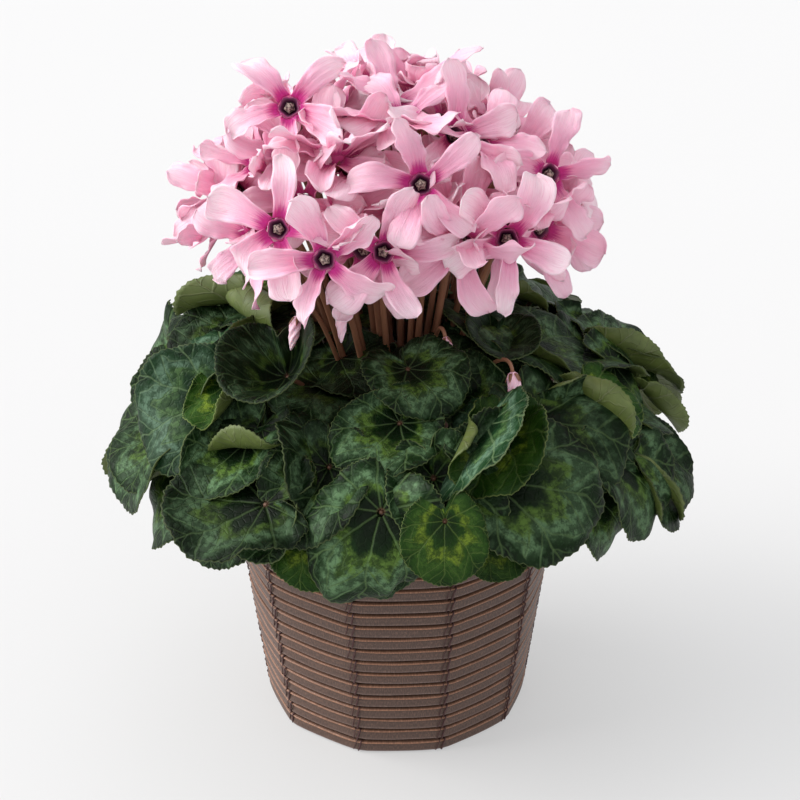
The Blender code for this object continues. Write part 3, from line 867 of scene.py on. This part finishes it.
# rings of hidden and filling leaves: climb, how many, width, lift, first azimuth
fillRings = [
    (76, 7, 0.058, -0.008, 10), (68, 6, 0.064, -0.030, 40), (60, 9, 0.058, -0.010, 0),
    (43, 11, 0.062, -0.010, 15), (27, 12, 0.062, -0.016, 0), (16, 12, 0.052, -0.022, 12),
]
for climb, count, width, lift, first in fillRings:
    for step in range(count):
        number += 1
        random = np.random.default_rng(900 + number)
        azimuth = first + 360 * step / count + random.uniform(-8, 8)
        if climb < 20 and abs((azimuth + 180) % 360 - 180) < 84:
            continue  # the lowest ring leaves the cover's front free
        place = (azimuth, width * random.uniform(0.85, 1.15), random.uniform(-60, 60), random.uniform(-8, 26),
                 random.uniform(-28, 28), lift)
        climbHere, tone = climb + random.uniform(-5, 5), random.uniform(0, 0.8)
        addLeaf(number, climbHere, leafForm["ringFoot"], place, (None, None, tone, None))

# leaves whose blade rolls over and shows its underside
rolledLeaves = [
    (-104, 60, 0.070, 10, 4, -10, 0.014, "bright", 0.05, 0.8, 0.2, [(-80, 0.02, 0.20)]),
    (-82, 64, 0.056, 10, 4, 0, 0.010, "dark", 0.05, 0.6, 0.2, [(-20, 0.04, 0.16)]),
    (98, 42, 0.058, 0, 0, 10, 0.006, "dark", 0.05, 0.6, 0.2, [(90, 0.02, 0.20)]),
    (94, 26, 0.058, 10, 0, 10, 0.000, "bright", 0.05, 0.6, 0.2, [(90, 0.06, 0.24)]),
    (-38, 44, 0.052, 10, 0, 0, 0.006, "dark", 0.05, 0.9, 0.2, [(-10, 0.10, 0.24)]),
    (-60, 56, 0.066, 20, 4, 0, -0.012, "dark", 0.05, 0.6, 0.2, []),
    (-34, 58, 0.060, 0, 4, 0, -0.016, "dark", 0.05, 0.6, 0.2, []),
    (64, 44, 0.056, -30, 0, 0, 0.008, "bright", 0.05, 0.9, 0.6, [(60, 0.08, 0.20)]),
]
number = addLeaves(number, rolledLeaves)

# and plain ones that close the gaps on the left
number = addLeaves(number, [
    (-98, 42, 0.066, 10, 0, 0, -0.004, "dark", 0.10, 1.0, None, None),
    (-122, 40, 0.066, -15, 0, 0, -0.002, "silver", 0.12, 1.0, None, None),
    (-94, 26, 0.062, -10, 6, 0, -0.008, "dark", 0.08, 0.9, None, None),
    (-110, 30, 0.062, 15, 6, 0, -0.006, "dark", 0.08, 0.9, None, None),
])
print("leaves made:", number)


# each face on the dome looks away from lookFrom
dome = {
    "centre": (-0.006, 0.0, 0.322), "radius": 0.083, "rise": 0.074, "heads": 21,
    "lookFrom": (-0.006, 0.0, 0.235),
}
flowerForm = {
    "petals": 5, "along": 24, "across": 13, "length": 0.0352, "width": 0.0225, "thickness": 0.00035,
    "stalk": (0.0023, 0.0014), "budStalk": (0.0016, 0.0011), "stalkSides": 9, "stalkSteps": 30,
}


def headPlace(index):
    # points spread evenly over the dome by the golden angle, from its crown to its rim
    height = 1 - 0.94 * (index + 0.5) / dome["heads"]
    radial = math.sqrt(1 - height**2) * wayOut(index * goldenAngle)
    head = np.array(dome["centre"]) + dome["radius"] * radial + np.array([0, 0, dome["rise"] * height])
    return head, unit(head - np.array(dome["lookFrom"]))


def faceFrame(look, turn):
    # axes whose third looks out of the flower, turned about it
    side = unit(np.cross(np.array([0, 0, 1.0]), look) + np.array([1e-6, 0, 0]))
    up = np.cross(look, side)
    c, s = math.cos(turn), math.sin(turn)
    return np.stack([c * side + s * up, -s * side + c * up, look], 1)


def petalGrids(random, openness):
    # each petal: a spine whose lean from the axis grows from start to end; across it a width
    # 0.26(1-s)^2 + s^1.1 rounded off at the tip, a hollow, a twist, pleats and a ruffled edge
    n, k, m = flowerForm["petals"], flowerForm["along"], flowerForm["across"]
    s = np.linspace(0, 1, k)[None, :, None]
    t = np.linspace(-1, 1, m)[None, None, :]

    def each(low, high):
        return random.uniform(low, high, (n, 1, 1))

    length = flowerForm["length"] * each(0.9, 1.12)
    width = flowerForm["width"] * each(0.85, 1.2)
    begin = np.radians(each(30, 50) + 14 * openness)
    end = np.radians(each(48, 92) + 20 * openness)
    lean = begin + (end - begin) * s**0.7 + np.radians(each(-60, 45)) * np.maximum(s - 0.5, 0) ** 1.4 * 2.2
    sweep = np.radians(each(-12, 18)) * s**1.5
    turn = 2 * pi * np.arange(n)[:, None, None] / n + np.radians(each(-8, 8)) + sweep
    step = length / (k - 1)
    radial = 0.0060 + np.cumsum(np.sin(lean) * step, 1) - np.sin(lean[:, :1]) * step
    height = 0.0087 + np.cumsum(np.cos(lean) * step, 1) - np.cos(lean[:, :1]) * step
    half = (0.26 * (1 - s) ** 2 + s**1.1) * np.sqrt(np.maximum(1 - s ** each(1.5, 5.0), 0.0004))
    half = 0.5 * width * half / 0.74
    outward = together(np.cos(turn), np.sin(turn), 0)
    sideways = together(-np.sin(turn), np.cos(turn), 0)
    axis = np.array([0, 0, 1.0])
    tangent = np.sin(lean)[..., None] * outward + np.cos(lean)[..., None] * axis
    normal = np.cross(tangent, sideways)
    twist = np.radians(each(-14, 48)) * s + np.radians(each(-12, 12))
    cross = np.cos(twist)[..., None] * sideways + np.sin(twist)[..., None] * normal
    rise = np.cos(twist)[..., None] * normal - np.sin(twist)[..., None] * sideways
    hollow = each(-0.45, 0.75) * s * (1.3 - s) * 1.8 + 0.5 * (1 - s) ** 3
    lift = half * hollow * ((t + each(-0.35, 0.35) * s) ** 2 - 0.3)
    ruffle = np.sin(each(6, 12) * s + each(0, 6.28) + 1.7 * t)
    lift = lift + 0.0016 * ruffle * s * np.abs(t) ** 2 * each(0.5, 1.8)
    lift = lift + 0.0011 * np.cos(pi * each(3.5, 5.5) * t + each(-1, 1)) * (1 - s) ** 0.8 * s**0.4
    crimp = np.sin(each(13, 23) * s + each(0, 6.28))
    lift = lift + 0.0012 * crimp * np.abs(t) ** 4 * np.sign(t + each(-0.5, 0.5))
    lift = lift - 0.0009 * np.exp(-((t / 0.15) ** 2)) * (1 - 0.6 * s) * np.minimum(1, 6 * s)
    lift = lift + half * each(-0.35, 0.45) * s * (np.abs(t) - 0.4)
    lift = lift + half * each(-0.5, 0.9) * np.maximum(each(-1, 1) * t - 0.25, 0) ** 1.5 * s
    spine = radial[..., None] * outward + height[..., None] * axis
    reach = half * (1 + 0.05 * np.sin(each(5, 9) * s + each(0, 6.28)) * np.sign(t))
    points = spine + (reach * t)[..., None] * cross + lift[..., None] * rise
    return points, s[0], t[0]


def sepals(put, size):
    # five small pointed leaves pressed to the back of the flower
    s = np.linspace(0, 1, 6)[:, None]
    t = np.linspace(-1, 1, 4)[None]
    made = []
    for sepal in range(5):
        turn = 2 * pi * (sepal + 0.5) / 5 + 0.42 * t * (1 - s**1.4)
        away = size * (0.0026 + 0.0026 * s**0.8)
        points = together(away * np.cos(turn), away * np.sin(turn), size * (0.0002 + 0.0056 * s))
        made.append(sheetShell(put(points), 0.0003, (3, 3), (0.5, 0.5), (0.6, 0.5, 0.5)))
    return made


def flowerSurfaces(seed, head, look, openness, roll):
    # petals, the tube with its dark five-sided throat, the anther cone and the calyx, about the look axis
    random = np.random.default_rng(seed)
    axes = faceFrame(look, random.uniform(0, 2 * pi) if roll is None else roll)
    tint = random.uniform(0, 1)
    grids, s, t = petalGrids(random, openness)

    def put(points):
        return head + points @ axes.T

    flat, mark = together(t * 0.5 + 0.5, s), together(s, t**2, tint)
    made = [sheetShell(put(grid), flowerForm["thickness"], (0, 0), flat, mark) for grid in grids]
    throat = np.array([
        (0.0016, -0.0006), (0.0028, 0.0004), (0.0036, 0.0022), (0.0043, 0.0048), (0.0052, 0.0074),
        (0.0062, 0.0088), (0.0056, 0.0092), (0.0045, 0.0082), (0.0032, 0.0062), (0.0016, 0.0050),
    ])
    depth = np.array([0.9, 0.7, 0.5, 0.3, 0.15, 0.05, 0.0, 0.3, 0.8, 1.0])
    cup = turnedForm(throat, 20, 1, 0.08)
    cup["mark"] = np.tile(together(depth, (np.arange(10) > 5) * 1.0, tint), (20, 1))
    cone = turnedForm(np.array([
        (0.0004, 0.0050), (0.0024, 0.0060), (0.0030, 0.0074),
        (0.0026, 0.0088), (0.0016, 0.0100), (0.0004, 0.0106),
    ]), 15, 2, 0.16)
    for form in (cup, cone):
        form["points"] = put(form["points"])
    return made + [cup, cone] + sepals(put, 1.0)


def stalk(head, look, foot, turn, thick):
    # from the corm's crown up, bending over to meet the back of the flower
    base, normal = cormPoint(turn, foot)
    reach = np.linalg.norm(head - base)
    t = np.linspace(0, 1, flowerForm["stalkSteps"])
    path = bezier(base, base + 0.35 * reach * normal, head - 0.22 * reach * look, head, len(t))
    across = unit(np.cross(normal, look) + np.array([1e-5, 2e-5, 0]))
    radius = thick[0] + (thick[1] - thick[0]) * t
    return tube(path, radius, flowerForm["stalkSides"], 3, across, together(t, 0, 0)[None])


def petalFinish():
    # rose deepening towards the eye, whose edge is streaked, with paler ridges, veins and rim
    material, tree = newFinish("petal", {
        "Roughness": 0.55, "Specular IOR Level": 0.3, "Sheen Weight": 0.08, "Sheen Roughness": 0.4,
        "Subsurface Weight": 0.30, "Subsurface Scale": 0.004, "Subsurface Radius": (1.0, 0.35, 0.45),
        # painted light: a faint pink emission, no lamp, stands in for light passing through the petals so
        # that their shaded sides stay pink
        "Emission Color": (0.85, 0.17, 0.32, 1), "Emission Strength": 0.045,
    })
    along, edge, tint = pieceMark(tree)
    flat = flatMap(tree)
    streak = noise(tree, stretched(tree, flat, (16, 1.2, 1)), 1.6, 3, 0.6)
    vein = noise(tree, stretched(tree, flat, (34, 2.2, 1)), 1.5, 2)
    ridge = noise(tree, stretched(tree, flat, (52, 2.6, 1)), 1.0, 1)
    cloud = noise(tree, objectPlace(tree), 70, 3)
    eye = timesPlus(tree, streak, -0.34, plus(tree, along, 0.17))
    eye = timesPlus(tree, edge, 0.09, eye)
    body = colourRamp(tree, timesPlus(tree, cloud, 0.22, plus(tree, along, -0.11)), [
        (0.0, (0.76, 0.15, 0.33)), (0.22, (0.85, 0.31, 0.47)),
        (0.52, (0.92, 0.50, 0.63)), (0.88, (0.97, 0.75, 0.82)),
    ])
    pale = times(tree, spread(tree, ridge, 0.58, 0.68), spread(tree, along, 0.62, 0.30, 0, 0.55))
    body = layered(tree, body, [
        (spread(tree, vein, 0.45, 0.7, 0, 0.40), (0.76, 0.25, 0.43)),
        (spread(tree, edge, 0.6, 1.0, 0, 0.45), (0.94, 0.68, 0.77)),
        (pale, (0.96, 0.74, 0.82)),
        (times(tree, tint, 0.40), (0.86, 0.32, 0.48)),
        (spread(tree, eye, 0.09, 0.29, 1, 0), (0.46, 0.010, 0.19)),
    ])
    relief = timesPlus(tree, ridge, 0.8, plus(tree, vein, times(tree, cloud, 1.2)))
    return coat(material, body, relief, 0.6, 0.0009)


def throatFinish():
    # darker the deeper, inside and outside the tube: inside, the deep magenta is the eye's own colour and its
    # fall to near black deeper in is painted shade; outside, darker towards the foot
    material, tree = newFinish("throat", {"Roughness": 0.5})
    depth, inside = pieceMark(tree)[:2]
    depth = timesPlus(tree, noise(tree, objectPlace(tree), 400, 2), 0.3, depth)
    within = colourRamp(tree, depth, [
        (0.08, (0.30, 0.012, 0.12)), (0.32, (0.085, 0.004, 0.04)), (0.9, (0.03, 0.003, 0.02)),
    ])
    without = colourRamp(tree, depth, [
        (0.15, (0.62, 0.10, 0.30)), (0.6, (0.45, 0.03, 0.17)), (1.0, (0.20, 0.02, 0.05)),
    ])
    return coat(material, blendColour(tree, inside, without, within))


antherGrain = {
    "roughness": 0.7, "noise": (900, 3), "bump": (0.8, 0.0004),
    "stops": [(0.42, (0.05, 0.018, 0.025)), (0.60, (0.42, 0.33, 0.27))],
}


flowerFinishes = [
    petalFinish(), throatFinish(), grainFinish("anther", antherGrain),
    petioleFinish("stalk", (0.20, 0.085, 0.045), (0.26, 0.115, 0.062)),
]


def addFlower(number, seed, head, look, openness, roll=None, nodes=()):
    # the further out the head, the further out its stalk's foot; the top ones stand open
    x, y = (head - np.array(dome["centre"]))[:2]
    foot = min(0.0165 * math.hypot(x, y) / dome["radius"], 0.022)
    parts = flowerSurfaces(seed, head, look, max(openness, 30 * (head[2] - 0.366)), roll)
    parts.append(stalk(head, look, foot, math.atan2(x, -y), flowerForm["stalk"]))
    makePiece(f"flowerPiece_{number:02d}", parts, flowerFinishes, nodes)


# number: where the face is, where it looks, how open and its turn in degrees
headsTuned = {
    14: ((-0.038, -0.090, 0.342), (-0.10, -0.92, 0.30), 1.2, -107),
    19: ((-0.062, -0.080, 0.355), (-0.25, -0.90, 0.35), 2.2, 4),
    9: ((0.013, -0.070, 0.376), (0.05, -0.90, 0.45), 1.2, 100),
    17: ((0.060, -0.068, 0.344), (0.10, -0.92, 0.30), 1.2, -90),
    12: ((0.082, -0.026, 0.364), (0.45, -0.80, 0.35), 1.1, 0),
    3: ((-0.058, -0.026, 0.402), (-0.15, -0.80, 0.60), 1.0, -90),
    16: ((-0.086, -0.012, 0.346), (-0.55, -0.70, 0.40), 0.9, 30),
    11: ((-0.072, -0.026, 0.366), (-0.6, -0.25, 0.75), 0.3, 0),
}
for index in range(dome["heads"]):
    head, look = headPlace(index)
    random = np.random.default_rng(500 + index)
    look = unit(look + random.normal(0, 0.25, 3))
    openness = random.uniform(-0.8, 0.6)
    roll = None
    if index + 1 in headsTuned:
        head, look, openness, roll = headsTuned[index + 1]
        head, look, roll = np.array(head), unit(np.array(look)), math.radians(roll)
    addFlower(index + 1, 500 + index, head, look, openness, roll, [f"flower_{index + 1:02d}"])

# further flowers towards the front: where the face is, where it looks, how open
frontFlowers = [
    ((-0.008, -0.082, 0.343), (0.12, -0.92, 0.28), 1.1),
    ((-0.034, -0.052, 0.378), (0.05, 0.25, 0.95), -0.9),
    ((0.002, -0.035, 0.392), (0.00, -0.25, 0.97), 0.0),
    ((-0.026, -0.044, 0.370), (-0.10, -0.50, 0.85), -0.3),
    ((-0.030, -0.060, 0.350), (0.10, -0.45, 0.85), -0.5),
    ((-0.056, -0.034, 0.374), (-0.30, -0.50, 0.80), -0.1),
    ((-0.078, 0.008, 0.354), (-0.70, -0.30, 0.65), 0.2),
    ((0.044, -0.030, 0.378), (0.30, -0.30, 0.90), 0.1),
    ((0.062, -0.008, 0.362), (0.40, -0.40, 0.80), -0.2),
    ((0.034, -0.058, 0.346), (0.10, -0.70, 0.65), -0.3),
    ((0.017, -0.052, 0.350), (0.00, -0.30, 0.90), -0.7),
    ((-0.074, -0.042, 0.334), (-0.60, -0.78, 0.00), 0.3),
    ((0.076, -0.034, 0.336), (0.60, -0.72, 0.10), 0.4),
    ((0.036, -0.070, 0.346), (0.05, -0.92, -0.10), 0.3),
    ((-0.018, -0.064, 0.340), (0.00, -0.85, -0.25), -0.4),
    ((0.002, -0.046, 0.346), (0.00, -0.60, 0.80), -0.2),
    ((0.032, -0.036, 0.352), (0.20, -0.50, 0.80), -0.2),
    ((-0.050, -0.044, 0.350), (-0.20, -0.60, 0.70), -0.2),
    ((0.060, -0.044, 0.342), (0.30, -0.80, -0.10), 0.0),
    ((-0.090, -0.010, 0.336), (-0.80, -0.50, 0.20), 0.4),
    ((0.084, 0.000, 0.332), (0.85, -0.45, 0.10), 0.3),
]
made = dome["heads"]
for head, look, openness in frontFlowers:
    made += 1
    roll = 0.0 if made == dome["heads"] + 1 else None  # the first, in the middle, isn't turned at random
    addFlower(made, 700 + made, np.array(head), unit(np.array(look)), openness, roll)

# and round the back: height above the dome's middle, how many, distance from its axis
for height, count, away in [(0.056, 4, 0.034), (0.042, 7, 0.060), (0.018, 8, 0.080), (-0.002, 8, 0.087)]:
    for step in range(count):
        made += 1
        random = np.random.default_rng(700 + made)
        turn = math.radians(75 + 210 * (step + 0.5) / count + random.uniform(-7, 7))
        radial = wayOut(turn)
        head = np.array(dome["centre"]) + away * random.uniform(0.9, 1.03) * radial + np.array([0, 0, height])
        look = unit(radial * (0.3 + 6 * away) + np.array([0, 0, 0.7]) + random.normal(0, 0.35, 3))
        addFlower(made, 700 + made, head, look, random.uniform(-0.7, 0.9))
print("flowers made:", made)


def addBud(number, head, look, size):
    # a furled spindle: a five-lobed outline that turns as it rises, with its sepals and stalk
    head, look = np.array(head), unit(np.array(look))
    axes = faceFrame(look, 0.4)
    profile = size * np.array([
        (0.0010, -0.0008), (0.0026, 0.0002), (0.0036, 0.0030), (0.0040, 0.0065), (0.0038, 0.0100),
        (0.0031, 0.0140), (0.0021, 0.0180), (0.0011, 0.0210), (0.0003, 0.0226),
    ])

    def put(points):
        return head + points @ axes.T

    form = turnedForm(profile, 40, 0, 0.13)
    x, y, z = form["points"].T
    twist = z / size * 150
    c, s = np.cos(twist), np.sin(twist)
    form["points"] = put(np.stack([x * c - y * s, x * s + y * c, z], -1))
    form["mark"] = np.tile(together(np.linspace(0.4, 1, 9), 1.0, 0.0), (40, 1))
    form["flat"] = np.tile(together(0.5, np.linspace(0, 1, 9)), (40, 1))
    parts = [form] + sepals(put, size)
    parts.append(stalk(head, look, 0.018, math.atan2(head[0], -head[1]), flowerForm["budStalk"]))
    makePiece(f"budPiece_{number:02d}", parts, flowerFinishes)


# buds: where it is, which way it points, and its size
buds = [
    ((0.066, -0.073, 0.262), (0.10, -0.45, -0.88), 0.95),
    ((-0.056, -0.062, 0.292), (-0.20, -0.40, -0.88), 0.85),
    ((-0.031, -0.066, 0.298), (0.00, -0.50, -0.86), 0.80),
    ((0.028, -0.056, 0.276), (0.20, -0.50, -0.80), 0.70),
    ((0.050, 0.064, 0.285), (0.30, 0.40, -0.85), 0.85),
]
for step, (head, look, scale) in enumerate(buds):
    addBud(step + 1, head, look, scale)
print("buds made:", len(buds))
